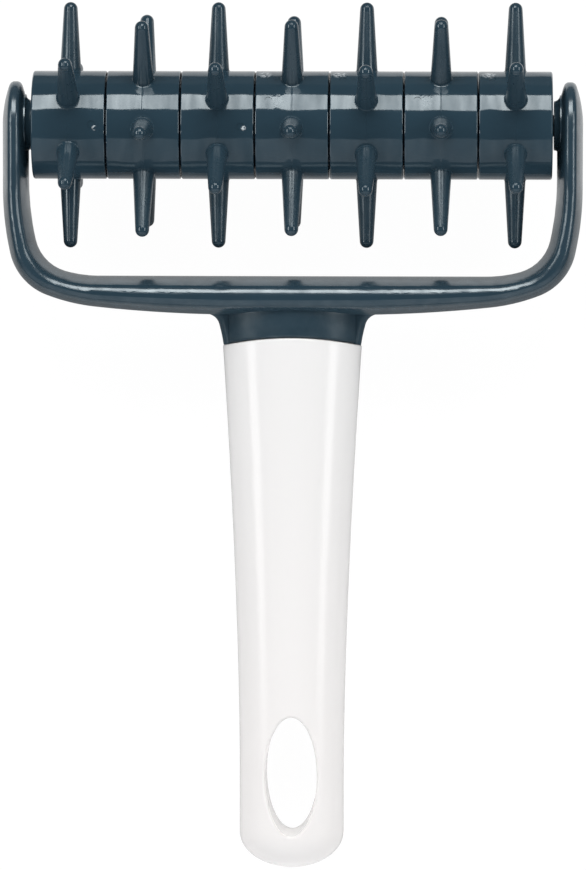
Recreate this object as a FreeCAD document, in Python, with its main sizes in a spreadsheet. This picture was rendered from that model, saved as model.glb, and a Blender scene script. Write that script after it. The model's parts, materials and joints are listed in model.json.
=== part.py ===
import FreeCAD, Part
import Sketcher
import math
import os

# Dough docker: a yoke with two arms, a roller of seven spiked rings on a six-sided core,
# and a hollow tapered handle with an oval hang hole.
# Tool frame: origin at the middle of the axle, X along the axle, Y from the handle to the roller,
# Z out of the tool's face. At the end every piece gets the placement of the tool lying on a table.

V = FreeCAD.Vector

SIZES = [
    ("ring_diameter", 25.0),
    ("ring_width", 17.07),
    ("ring_gap", 0.08),
    ("ring_wall", 2.3),
    ("ring_web", 2.2),
    ("ring_edge_round", 0.45),
    ("hub_diameter", 12.0),
    ("spike_circle", 56.8),
    ("spike_root_diameter", 4.9),
    ("spike_tip_round", 1.6),
    ("spike_fillet", 0.35),
    ("gate_offset", 5.4),
    ("gate_diameter", 1.8),
    ("gate_depth", 0.15),
    ("core_flats", 7.0),
    ("core_clearance", 0.1),
    ("pivot_diameter", 5.0),
    ("pivot_length", 2.9),
    ("pivot_clearance", 0.05),
    ("pivot_end_gap", 0.4),
    ("side_gap", 0.35),
    ("boss_diameter", 11.4),
    ("boss_seat", 0.6),
    ("arm_gap", 1.1),
    ("arm_thickness", 6.0),
    ("arm_depth", 20.2),
    ("arm_spare", 4.0),
    ("arm_lens", 28.0),
    ("arm_crest", 1.35),
    ("bar_distance", 34.95),
    ("bar_thickness", 8.9),
    ("bar_lens", 21.0),
    ("bar_crest", 2.7),
    ("outer_ease", 70.0),
    ("outer_bend", 13.6),
    ("outer_sweep", 45.0),
    ("inner_ease", 60.0),
    ("inner_bend", 9.7),
    ("inner_sweep", 28.0),
    ("collar_width", 30.8),
    ("collar_bar_depth", 15.4),
    ("collar_foot_depth", 14.4),
    ("collar_edge_round", 0.6),
    ("flare_foot_width", 31.9),
    ("flare_depth", 4.6),
    ("flare_bend", 3.16),
    ("flare_ease", 35.5),
    ("flare_edge_round", 1.7),
    ("joint_distance", 48.9),
    ("joint_radius", 64.0),
    ("joint_gap", 0.1),
    ("joint_edge_round", 0.4),
    ("handle_reach", 172.8),
    ("handle_top_width", 33.0),
    ("handle_end_width", 24.2),
    ("handle_top_depth", 18.6),
    ("handle_end_depth", 16.8),
    ("handle_wall", 3.0),
    ("plug_length", 14.0),
    ("plug_clearance", 0.1),
    ("rib_length", 34.0),
    ("rib_thickness", 3.0),
    ("rib_gap", 1.2),
    ("hang_hole_from_end", 21.95),
    ("hang_hole_length", 27.7),
    ("hang_hole_width", 11.9),
    ("hang_hole_round", 0.6),
    ("hang_hole_floor", 5.2),
]

RING_COUNT = 7
SPIKE_COUNT = 6
# quarter turns of the outline, as headings measured from the crossbar's direction, in degrees
OUTER_HEADINGS = (77.5, 21.0, 6.0)
INNER_HEADINGS = (77.0, 16.0)
BAR_END_HEADING = 0.8
# seat of each ring on the core, in degrees, and whether it sits the other way round
RING_SEATS = (-30.0, 180.0, -30.0, 60.0, 90.0, 60.0, 90.0)
RING_FLIPPED = (False, False, False, True, True, True, True)
# turn of the whole roller about its axle, and each ring's own turn in the slack on the core, in degrees
ROLLER_TURN = -0.35
RING_SLACK = (2.3, -2.3, -0.05, -1.1, -1.25, -0.65, 0.35)
# levels of the frame's outline, as shares of the way from its middle plane to a crest
LEVELS = (0.0, 0.3, 0.545, 0.73, 0.85, 0.91, 0.95, 0.975, 0.99, 0.998)
# how much less than its middle the crossbar draws in where it meets the arms' bends
CORNER_SHARE = 0.77
# headings of the flare where it leaves the crossbar, between its two curves, and at the handle
FLARE_HEADINGS = (10.0, 74.0, 82.0)

doc = FreeCAD.newDocument("dough_docker")
sheet = doc.addObject("Spreadsheet::Sheet", "sizes")
for row, (alias, value) in enumerate(SIZES, start=1):
    sheet.set("A%d" % row, alias)
    sheet.set("B%d" % row, str(value))
    sheet.setAlias("B%d" % row, alias)
doc.recompute()


def size(alias):
    return float(sheet.get(alias))


def cell(alias):
    return "<<sizes>>." + alias


# helpers for sketches

def origin_plane(body, role):
    return [plane for plane in body.Origin.OriginFeatures if plane.Role == role][0]


def new_sketch(body, name, role):
    sketch = body.newObject("Sketcher::SketchObject", name)
    sketch.AttachmentSupport = [(origin_plane(body, role), "")]
    sketch.MapMode = "FlatFace"
    return sketch


def add_polygon(sketch, points):
    """closed chain of straight lines, kept level or upright where they are drawn so"""
    count = len(points)
    for index in range(count):
        start = points[index]
        end = points[(index + 1) % count]
        line = Part.LineSegment(V(start[0], start[1], 0), V(end[0], end[1], 0))
        sketch.addGeometry(line, False)
    for index in range(count):
        sketch.addConstraint(Sketcher.Constraint("Coincident", index, 2, (index + 1) % count, 1))
        start = points[index]
        end = points[(index + 1) % count]
        if abs(start[1] - end[1]) < 1e-9:
            sketch.addConstraint(Sketcher.Constraint("Horizontal", index))
        elif abs(start[0] - end[0]) < 1e-9:
            sketch.addConstraint(Sketcher.Constraint("Vertical", index))


def bind_point(sketch, geometry, point, direction, value, expression):
    """distance of a point from the sketch origin along one direction, bound to the sheet"""
    index = sketch.addConstraint(Sketcher.Constraint(direction, -1, 1, geometry, point, value))
    sketch.setExpression("Constraints[%d]" % index, expression)


def bind_radius(sketch, geometry, value, expression):
    index = sketch.addConstraint(Sketcher.Constraint("Radius", geometry, value))
    sketch.setExpression("Constraints[%d]" % index, expression)


def arc_through(first, middle, last):
    """arc through three points, stored anticlockwise about Z"""
    round_line = Part.Circle(first, middle, last)
    centre = round_line.Center
    if (first - centre).cross(middle - centre).z < 0:
        first, last = last, first
    start = math.atan2(first.y - centre.y, first.x - centre.x)
    end = math.atan2(last.y - centre.y, last.x - centre.x)
    if end < start:
        end += 2 * math.pi
    return Part.ArcOfCircle(Part.Circle(centre, V(0, 0, 1), round_line.Radius), start, end)


def circle_sketch(body, name, role, radius, expression):
    sketch = new_sketch(body, name, role)
    sketch.addGeometry(Part.Circle(V(0, 0, 0), V(0, 0, 1), radius), False)
    sketch.addConstraint(Sketcher.Constraint("Coincident", 0, 3, -1, 1))
    bind_radius(sketch, 0, radius, expression)
    return sketch


def hexagon_sketch(body, name, role, flats, expression):
    """six-sided outline with two corners on the upright axis"""
    sketch = new_sketch(body, name, role)
    corner = flats / 2 / math.cos(math.pi / 6)
    points = []
    for index in range(6):
        angle = math.pi / 2 + index * math.pi / 3
        points.append(V(corner * math.cos(angle), corner * math.sin(angle), 0))
    for index in range(6):
        sketch.addGeometry(Part.LineSegment(points[index], points[(index + 1) % 6]), False)
    sketch.addGeometry(Part.Circle(V(0, 0, 0), V(0, 0, 1), corner), True)
    for index in range(6):
        sketch.addConstraint(Sketcher.Constraint("Coincident", index, 2, (index + 1) % 6, 1))
        sketch.addConstraint(Sketcher.Constraint("PointOnObject", index, 1, 6))
    for index in range(5):
        sketch.addConstraint(Sketcher.Constraint("Equal", index, index + 1))
    sketch.addConstraint(Sketcher.Constraint("Coincident", 6, 3, -1, 1))
    sketch.addConstraint(Sketcher.Constraint("PointOnObject", 0, 1, -2))
    bind_radius(sketch, 6, corner, "(" + expression + ") / 2 / cos(30 deg)")
    return sketch


def ellipse_sketch(body, name, distance, half_width, half_depth):
    """cross-section of the stem or the handle; each argument is a pair of value and expression"""
    sketch = new_sketch(body, name, "XZ_Plane")
    sketch.setExpression("AttachmentOffset.Base.z", distance[1])
    sketch.addGeometry(Part.Ellipse(V(0, 0, 0), half_width[0], half_depth[0]), False)
    sketch.exposeInternalGeometry(0)
    sketch.addConstraint(Sketcher.Constraint("Coincident", 0, 3, -1, 1))
    sketch.addConstraint(Sketcher.Constraint("Horizontal", 1))
    for line, pair in ((1, half_width), (2, half_depth)):
        index = sketch.addConstraint(Sketcher.Constraint("Distance", line, 2 * pair[0]))
        sketch.setExpression("Constraints[%d]" % index, "2 * (" + pair[1] + ")")
    return sketch


def edge_names(shape, wanted):
    return ["Edge%d" % (number + 1) for number, edge in enumerate(shape.Edges) if wanted(edge)]


def sample_points(edge, count=9):
    first, last = edge.ParameterRange
    return [edge.valueAt(first + (last - first) * step / (count - 1)) for step in range(count)]


# shape of the handle and of the collar that continues it

TAPER_SHARE = 0.87
TAPER_POWER = 1.6
START = size("joint_distance") - 4.0
LENGTH = size("handle_reach") - size("handle_end_depth") / 2 - START
START_CELL = "(" + cell("joint_distance") + " - 4)"
LENGTH_CELL = "(" + cell("handle_reach") + " - " + cell("handle_end_depth") + " / 2 - " + START_CELL + ")"


def share_at(distance):
    return (distance - START) / LENGTH


def distance_at(share):
    return (START + LENGTH * share, "%s + %s * %.6f" % (START_CELL, LENGTH_CELL, share))


def taper_at(share):
    return max(0.0, 1.0 - max(0.0, share) / TAPER_SHARE) ** TAPER_POWER


def half_of(kind, share, less=()):
    """half width or half depth of the handle's outside at a share of its length, less some sizes"""
    factor = taper_at(share)
    top = size("handle_top_" + kind)
    end = size("handle_end_" + kind)
    value = (end + (top - end) * factor) / 2
    end_cell = cell("handle_end_" + kind)
    text = "(%s + (%s - %s) * %.6f) / 2" % (end_cell, cell("handle_top_" + kind), end_cell, factor)
    for alias in less:
        value -= size(alias)
        text += " - " + cell(alias)
    return (value, text)


def arch_points(offset, reach):
    """ends and crown of the arched joint line, moved along the handle by an offset"""
    crown = -size("joint_distance") - offset
    radius = size("joint_radius")
    drop = radius - math.sqrt(radius ** 2 - reach ** 2)
    return V(-reach, crown - drop, 0), V(0, crown, 0), V(reach, crown - drop, 0)


def arch_pocket(body, name, offset, far_side, offset_cell):
    """cut everything on one side of the arched joint line"""
    reach = size("handle_top_width")
    left, crown, right = arch_points(offset, reach)
    sketch = new_sketch(body, name + "_sketch", "XY_Plane")
    sketch.addGeometry(arc_through(left, crown, right), False)
    sketch.addGeometry(Part.LineSegment(right, V(right.x, far_side, 0)), False)
    sketch.addGeometry(Part.LineSegment(V(right.x, far_side, 0), V(left.x, far_side, 0)), False)
    sketch.addGeometry(Part.LineSegment(V(left.x, far_side, 0), left), False)
    arc = sketch.Geometry[0]
    right_end = 1 if arc.StartPoint.x > 0 else 2
    left_end = 3 - right_end
    sketch.addConstraint(Sketcher.Constraint("Coincident", 0, right_end, 1, 1))
    sketch.addConstraint(Sketcher.Constraint("Coincident", 1, 2, 2, 1))
    sketch.addConstraint(Sketcher.Constraint("Coincident", 2, 2, 3, 1))
    sketch.addConstraint(Sketcher.Constraint("Coincident", 3, 2, 0, left_end))
    sketch.addConstraint(Sketcher.Constraint("Vertical", 1))
    sketch.addConstraint(Sketcher.Constraint("Horizontal", 2))
    sketch.addConstraint(Sketcher.Constraint("Vertical", 3))
    sketch.addConstraint(Sketcher.Constraint("PointOnObject", 0, 3, -2))
    bind_radius(sketch, 0, size("joint_radius"), cell("joint_radius"))
    centre = size("joint_distance") + offset + size("joint_radius")
    bind_point(sketch, 0, 3, "DistanceY", -centre,
               "-(%s + %s + %s)" % (cell("joint_distance"), offset_cell, cell("joint_radius")))
    pocket = body.newObject("PartDesign::Pocket", name)
    pocket.Profile = sketch
    pocket.Midplane = True
    pocket.Length = 4 * size("handle_top_depth")
    return pocket


# spiked ring

def make_ring(name):
    """one ring about X with six spikes, cored out on both sides of a web, with a twelve-point bore"""
    body = doc.addObject("PartDesign::Body", name)
    radius = size("ring_diameter") / 2
    inside = radius - size("ring_wall")
    hub = size("hub_diameter") / 2
    bore = size("core_flats") / 2 - 0.5
    half_hub = (size("ring_width") + size("ring_gap")) / 2
    half_width = size("ring_width") / 2
    half_web = size("ring_web") / 2

    section = new_sketch(body, name + "_section", "XZ_Plane")
    add_polygon(section, [
        (-half_hub, bore), (half_hub, bore), (half_hub, hub), (half_web, hub),
        (half_web, inside), (half_width, inside), (half_width, radius), (-half_width, radius),
        (-half_width, inside), (-half_web, inside), (-half_web, hub), (-half_hub, hub)])
    pitch_cell = "(%s + %s)" % (cell("ring_width"), cell("ring_gap"))
    inside_cell = "%s / 2 - %s" % (cell("ring_diameter"), cell("ring_wall"))
    bind_point(section, 0, 1, "DistanceX", -half_hub, "-" + pitch_cell + " / 2")
    bind_point(section, 1, 1, "DistanceX", half_hub, pitch_cell + " / 2")
    bind_point(section, 0, 1, "DistanceY", bore, cell("core_flats") + " / 2 - 0.5")
    bind_point(section, 2, 1, "DistanceY", hub, cell("hub_diameter") + " / 2")
    bind_point(section, 11, 1, "DistanceY", hub, cell("hub_diameter") + " / 2")
    bind_point(section, 3, 1, "DistanceX", half_web, cell("ring_web") + " / 2")
    bind_point(section, 10, 1, "DistanceX", -half_web, "-" + cell("ring_web") + " / 2")
    bind_point(section, 4, 1, "DistanceY", inside, inside_cell)
    bind_point(section, 9, 1, "DistanceY", inside, inside_cell)
    bind_point(section, 5, 1, "DistanceX", half_width, cell("ring_width") + " / 2")
    bind_point(section, 8, 1, "DistanceX", -half_width, "-" + cell("ring_width") + " / 2")
    bind_point(section, 6, 1, "DistanceY", radius, cell("ring_diameter") + " / 2")
    drum = body.newObject("PartDesign::Revolution", name + "_drum")
    drum.Profile = section
    drum.ReferenceAxis = (section, ["H_Axis"])
    drum.Angle = 360.0
    doc.recompute()

    rims = edge_names(drum.Shape, lambda edge: edge.Closed and edge.Length > 2 * math.pi * (radius - 0.01))
    rounded = body.newObject("PartDesign::Fillet", name + "_rims")
    rounded.Base = (drum, rims)
    rounded.setExpression("Radius", cell("ring_edge_round"))
    doc.recompute()

    # spike: a cone that runs tangentially into a round tip
    tip = size("spike_tip_round")
    tip_centre = size("spike_circle") / 2 - tip
    foot = radius - size("ring_wall") / 2
    root = size("spike_root_diameter") / 2
    slope = 0.0
    for step in range(20):
        slope = math.atan((root - tip / math.cos(slope)) / (tip_centre - radius))
    foot_radius = root + (radius - foot) * math.tan(slope)
    touch = V(tip * math.cos(slope), tip_centre + tip * math.sin(slope), 0)
    half = (math.pi / 2 + slope) / 2
    middle = V(tip * math.cos(half), tip_centre + tip * math.sin(half), 0)
    crown = V(0, tip_centre + tip, 0)
    profile = new_sketch(body, name + "_spike_profile", "XZ_Plane")
    profile.addGeometry(Part.LineSegment(V(0, foot, 0), V(foot_radius, foot, 0)), False)
    profile.addGeometry(Part.LineSegment(V(foot_radius, foot, 0), touch), False)
    profile.addGeometry(arc_through(touch, middle, crown), False)
    profile.addGeometry(Part.LineSegment(crown, V(0, foot, 0)), False)
    profile.addConstraint(Sketcher.Constraint("Coincident", 0, 2, 1, 1))
    profile.addConstraint(Sketcher.Constraint("Tangent", 1, 2, 2, 1))
    profile.addConstraint(Sketcher.Constraint("Coincident", 2, 2, 3, 1))
    profile.addConstraint(Sketcher.Constraint("Coincident", 3, 2, 0, 1))
    profile.addConstraint(Sketcher.Constraint("Horizontal", 0))
    profile.addConstraint(Sketcher.Constraint("PointOnObject", 0, 1, -2))
    profile.addConstraint(Sketcher.Constraint("PointOnObject", 2, 2, -2))
    profile.addConstraint(Sketcher.Constraint("PointOnObject", 2, 3, -2))
    bind_radius(profile, 2, tip, cell("spike_tip_round"))
    bind_point(profile, 2, 2, "DistanceY", tip_centre + tip, cell("spike_circle") + " / 2")
    bind_point(profile, 0, 1, "DistanceY", foot,
               "%s / 2 - %s / 2" % (cell("ring_diameter"), cell("ring_wall")))
    spike = body.newObject("PartDesign::Revolution", name + "_spike")
    spike.Profile = profile
    spike.ReferenceAxis = (profile, ["V_Axis"])
    spike.Angle = 360.0
    doc.recompute()
    spikes = body.newObject("PartDesign::PolarPattern", name + "_spikes")
    spikes.Originals = [spike]
    spikes.Axis = (section, ["H_Axis"])
    spikes.Angle = 360.0
    spikes.Occurrences = SPIKE_COUNT
    body.Tip = spikes
    doc.recompute()

    def is_root(edge):
        for point in sample_points(edge):
            if abs(math.hypot(point.y, point.z) - radius) > 0.02 or abs(point.x) > root * 1.05:
                return False
        return True

    roots = body.newObject("PartDesign::Fillet", name + "_roots")
    roots.Base = (spikes, edge_names(spikes.Shape, is_root))
    roots.setExpression("Radius", cell("spike_fillet"))
    doc.recompute()

    # bore: a six-sided hole and its twin turned by half a corner
    hole = hexagon_sketch(body, name + "_bore_outline", "YZ_Plane",
                          size("core_flats") + 2 * size("core_clearance"),
                          cell("core_flats") + " + 2 * " + cell("core_clearance"))
    bore_cut = body.newObject("PartDesign::Pocket", name + "_bore")
    bore_cut.Profile = hole
    bore_cut.Midplane = True
    bore_cut.setExpression("Length", "2 * " + pitch_cell)
    doc.recompute()
    twin = body.newObject("PartDesign::PolarPattern", name + "_bore_twin")
    twin.Originals = [bore_cut]
    twin.Axis = (section, ["H_Axis"])
    twin.Angle = 30.0
    twin.Occurrences = 2
    body.Tip = twin
    doc.recompute()

    # shallow round gate mark half way between two spikes
    gate = new_sketch(body, name + "_gate_outline", "XY_Plane")
    turn = FreeCAD.Rotation(V(1, 0, 0), -180.0 / SPIKE_COUNT)
    gate.AttachmentOffset = FreeCAD.Placement(turn.multVec(V(0, 0, radius)), turn)
    mark = Part.Circle(V(size("gate_offset"), 0, 0), V(0, 0, 1), size("gate_diameter") / 2)
    gate.addGeometry(mark, False)
    gate.addConstraint(Sketcher.Constraint("PointOnObject", 0, 3, -1))
    bind_point(gate, 0, 3, "DistanceX", size("gate_offset"), cell("gate_offset"))
    bind_radius(gate, 0, size("gate_diameter") / 2, cell("gate_diameter") + " / 2")
    dimple = body.newObject("PartDesign::Pocket", name + "_gate")
    dimple.Profile = gate
    dimple.setExpression("Length", cell("gate_depth"))
    body.Tip = dimple
    doc.recompute()
    return body


# six-sided core with round pivots

def make_core(name):
    body = doc.addObject("PartDesign::Body", name)
    length_cell = "%d * (%s + %s)" % (RING_COUNT, cell("ring_width"), cell("ring_gap"))
    outline = hexagon_sketch(body, name + "_outline", "YZ_Plane", size("core_flats"), cell("core_flats"))
    bar = body.newObject("PartDesign::Pad", name + "_bar")
    bar.Profile = outline
    bar.Midplane = True
    bar.setExpression("Length", length_cell)
    doc.recompute()
    circle = circle_sketch(body, name + "_pivot_outline", "YZ_Plane", size("pivot_diameter") / 2,
                           cell("pivot_diameter") + " / 2")
    pivots = body.newObject("PartDesign::Pad", name + "_pivots")
    pivots.Profile = circle
    pivots.Midplane = True
    pivot_cell = "(%s + %s)" % (cell("pivot_length"), cell("side_gap"))
    pivots.setExpression("Length", length_cell + " + 2 * " + pivot_cell)
    doc.recompute()
    far = pivots.Shape.BoundBox.XMax

    def is_pivot_end(edge):
        return all(abs(abs(point.x) - far) < 1e-4 for point in sample_points(edge))

    ends = body.newObject("PartDesign::Chamfer", name + "_pivot_ends")
    ends.Base = (pivots, edge_names(pivots.Shape, is_pivot_end))
    ends.Size = 0.4
    body.Tip = ends
    doc.recompute()
    return body


# handle

def make_handle(name):
    body = doc.addObject("PartDesign::Body", name)
    sections = []
    for number, share in enumerate((0.0, 0.1, 0.22, 0.36, 0.5, 0.64, 0.78, 0.9, 1.0)):
        sections.append(ellipse_sketch(body, "%s_section_%d" % (name, number), distance_at(share),
                                       half_of("width", share), half_of("depth", share)))
    doc.recompute()
    grip = body.newObject("PartDesign::AdditiveLoft", name + "_grip")
    grip.Profile = sections[0]
    grip.Sections = sections[1:]
    doc.recompute()

    # rounded end: as deep along the handle as it is thick
    end = body.newObject("PartDesign::AdditiveEllipsoid", name + "_end")
    end.AttachmentSupport = [(origin_plane(body, "XZ_Plane"), "")]
    end.MapMode = "FlatFace"
    end.setExpression("AttachmentOffset.Base.z", distance_at(1.0)[1])
    end.setExpression("Radius1", cell("handle_end_depth") + " / 2")
    end.setExpression("Radius2", cell("handle_end_width") + " / 2")
    end.setExpression("Radius3", cell("handle_end_depth") + " / 2")
    end.Angle1 = -90.0
    end.Angle2 = 90.0
    end.Angle3 = 360.0
    doc.recompute()

    top = arch_pocket(body, name + "_top", 0.0, 0.0, "0")
    doc.recompute()

    def is_top_edge(edge):
        centre = -size("joint_distance") - size("joint_radius")
        for point in sample_points(edge):
            if abs(math.hypot(point.x, point.y - centre) - size("joint_radius")) > 1e-3:
                return False
        return True

    top_edge = body.newObject("PartDesign::Fillet", name + "_top_edge")
    top_edge.Base = (top, edge_names(top.Shape, is_top_edge))
    top_edge.setExpression("Radius", cell("joint_edge_round"))
    doc.recompute()

    # oval hang hole with rounded rims, placed from the handle's end
    middle = size("hang_hole_from_end") - size("handle_reach")
    long_half = size("hang_hole_length") / 2
    short_half = size("hang_hole_width") / 2
    oval = new_sketch(body, name + "_hang_outline", "XY_Plane")
    rim = Part.Ellipse(V(0, middle + long_half, 0), V(short_half, middle, 0), V(0, middle, 0))
    oval.addGeometry(rim, False)
    oval.exposeInternalGeometry(0)
    oval.addConstraint(Sketcher.Constraint("PointOnObject", 0, 3, -2))
    oval.addConstraint(Sketcher.Constraint("Vertical", 1))
    bind_point(oval, 0, 3, "DistanceY", middle, cell("hang_hole_from_end") + " - " + cell("handle_reach"))
    for line, alias in ((1, "hang_hole_length"), (2, "hang_hole_width")):
        index = oval.addConstraint(Sketcher.Constraint("Distance", line, size(alias)))
        oval.setExpression("Constraints[%d]" % index, cell(alias))
    hole = body.newObject("PartDesign::Pocket", name + "_hang_hole")
    hole.Profile = oval
    hole.Midplane = True
    hole.Length = 4 * size("handle_top_depth")
    doc.recompute()

    def is_rim(edge):
        for point in sample_points(edge):
            ratio = (point.x / short_half) ** 2 + ((point.y - middle) / long_half) ** 2
            if abs(ratio - 1.0) > 1e-3 or abs(point.z) < size("handle_end_depth") / 4:
                return False
        return True

    rims = body.newObject("PartDesign::Fillet", name + "_hang_rims")
    rims.Base = (hole, edge_names(hole.Shape, is_rim))
    rims.setExpression("Radius", cell("hang_hole_round"))
    doc.recompute()

    # hollow from the collar end to a floor above the hang hole
    floor_distance = -middle - long_half - size("hang_hole_floor")
    hollow_share = share_at(floor_distance)
    cores = []
    for number, part in enumerate((0.0, 0.25, 0.5, 0.75, 1.0)):
        share = hollow_share * part
        cores.append(ellipse_sketch(body, "%s_core_%d" % (name, number), distance_at(share),
                                    half_of("width", share, ("handle_wall",)),
                                    half_of("depth", share, ("handle_wall",))))
    doc.recompute()
    hollow = body.newObject("PartDesign::SubtractiveLoft", name + "_hollow")
    hollow.Profile = cores[0]
    hollow.Sections = cores[1:]
    body.Tip = hollow
    doc.recompute()
    return body


# stem of the yoke: collar, plug and ribs inside the handle

def make_stem(name):
    body = doc.addObject("PartDesign::Body", name)
    joint = size("joint_distance")
    bar_middle = size("bar_distance") + size("bar_thickness") / 2
    bar_middle_cell = "(%s + %s / 2)" % (cell("bar_distance"), cell("bar_thickness"))
    wide = (size("collar_width") / 2, cell("collar_width") + " / 2")
    spans = ((joint + 6.0, cell("joint_distance") + " + 6", "collar_foot_depth"),
             (bar_middle, bar_middle_cell, "collar_bar_depth"))
    sections = []
    for distance, distance_cell, depth in spans:
        deep = (size(depth) / 2, cell(depth) + " / 2")
        sections.append(ellipse_sketch(body, "%s_collar_%d" % (name, len(sections)),
                                       (distance, distance_cell), wide, deep))
    doc.recompute()
    collar = body.newObject("PartDesign::AdditiveLoft", name + "_collar")
    collar.Profile = sections[0]
    collar.Sections = sections[1:]
    doc.recompute()
    foot = arch_pocket(body, name + "_foot", -size("joint_gap"), -size("handle_reach"),
                       "-" + cell("joint_gap"))
    doc.recompute()

    def is_foot_edge(edge):
        centre = -size("joint_distance") + size("joint_gap") - size("joint_radius")
        for point in sample_points(edge):
            if abs(math.hypot(point.x, point.y - centre) - size("joint_radius")) > 1e-3:
                return False
        return True

    foot_edge = body.newObject("PartDesign::Fillet", name + "_foot_edge")
    foot_edge.Base = (foot, edge_names(foot.Shape, is_foot_edge))
    foot_edge.setExpression("Radius", cell("collar_edge_round"))
    doc.recompute()

    plug_start = size("joint_distance") - 3.0
    plug_sections = []
    for number, part in enumerate((0.0, 0.5, 1.0)):
        distance = plug_start + (size("plug_length") + 3.0) * part
        text = "%s - 3 + (%s + 3) * %.2f" % (cell("joint_distance"), cell("plug_length"), part)
        share = share_at(distance)
        less = ("handle_wall", "plug_clearance")
        plug_sections.append(ellipse_sketch(body, "%s_plug_%d" % (name, number), (distance, text),
                                            half_of("width", share, less), half_of("depth", share, less)))
    doc.recompute()
    plug = body.newObject("PartDesign::AdditiveLoft", name + "_plug")
    plug.Profile = plug_sections[0]
    plug.Sections = plug_sections[1:]
    doc.recompute()

    # two crossed ribs beyond the plug
    rib_end = size("joint_distance") + size("plug_length") + size("rib_length")
    share = share_at(rib_end)
    less = ("handle_wall", "rib_gap")
    thin = (size("rib_thickness") / 2, cell("rib_thickness") + " / 2")
    pairs = ((half_of("width", share, less), thin), (thin, half_of("depth", share, less)))
    for number, (half_x, half_z) in enumerate(pairs):
        sketch = new_sketch(body, "%s_rib_outline_%d" % (name, number), "XZ_Plane")
        sketch.setExpression("AttachmentOffset.Base.z",
                             "%s + %s - 1" % (cell("joint_distance"), cell("plug_length")))
        add_polygon(sketch, [(-half_x[0], -half_z[0]), (half_x[0], -half_z[0]),
                             (half_x[0], half_z[0]), (-half_x[0], half_z[0])])
        bind_point(sketch, 0, 1, "DistanceX", -half_x[0], "-(" + half_x[1] + ")")
        bind_point(sketch, 0, 1, "DistanceY", -half_z[0], "-(" + half_z[1] + ")")
        bind_point(sketch, 1, 2, "DistanceX", half_x[0], half_x[1])
        bind_point(sketch, 1, 2, "DistanceY", half_z[0], half_z[1])
        doc.recompute()
        rib = body.newObject("PartDesign::Pad", "%s_rib_%d" % (name, number))
        rib.Profile = sketch
        rib.setExpression("Length", cell("rib_length") + " + 1")
        doc.recompute()
        body.Tip = rib
    doc.recompute()
    return body


# frame of the yoke: two arms and the crossbar

def arc_chain(start, heading, steps):
    """tangent arcs from a point, heading down and inward; steps are pairs of radius and new heading"""
    pieces = []
    point = start
    angle = math.radians(heading)
    for radius, new_heading in steps:
        turned = math.radians(new_heading)
        halfway = (angle + turned) / 2
        ends = []
        for stop in (halfway, turned):
            ends.append(V(point.x - radius * (math.sin(angle) - math.sin(stop)),
                          point.y - radius * (math.cos(stop) - math.cos(angle)), 0))
        pieces.append((point, ends[0], ends[1]))
        point = ends[1]
        angle = turned
    return pieces


def chain_drop(steps, heading=90.0):
    pieces = arc_chain(V(0, 0, 0), heading, steps)
    return -pieces[-1][2].y


def inset_at(kind, level):
    """how far the arms or the bar draw in at a level: a lens whose crest is rounded off"""
    half = size(kind + "_thickness") / 2
    lens = size(kind + "_lens")
    crest = size(kind + "_crest")
    top = size("arm_depth") / 2
    height = top * abs(level)
    crest_centre = top - crest
    if height * (lens - crest) <= lens * crest_centre:
        inset = lens - math.sqrt(lens ** 2 - height ** 2)
    else:
        run = math.sqrt((lens - crest) ** 2 - crest_centre ** 2)
        inset = lens - run - math.sqrt(crest ** 2 - (height - crest_centre) ** 2)
    return (inset, "%s * %.6f" % (cell(kind + "_thickness"), inset / half / 2))


def bend_inset(level):
    """how far the outline draws in at the bends between the arms and the crossbar"""
    arm_inset, arm_cell = inset_at("arm", level)
    bar_inset, bar_cell = inset_at("bar", level)
    return ((arm_inset + bar_inset * CORNER_SHARE) / 2,
            "(%s + %s * %.4f) / 2" % (arm_cell, bar_cell, CORNER_SHARE))


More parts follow.
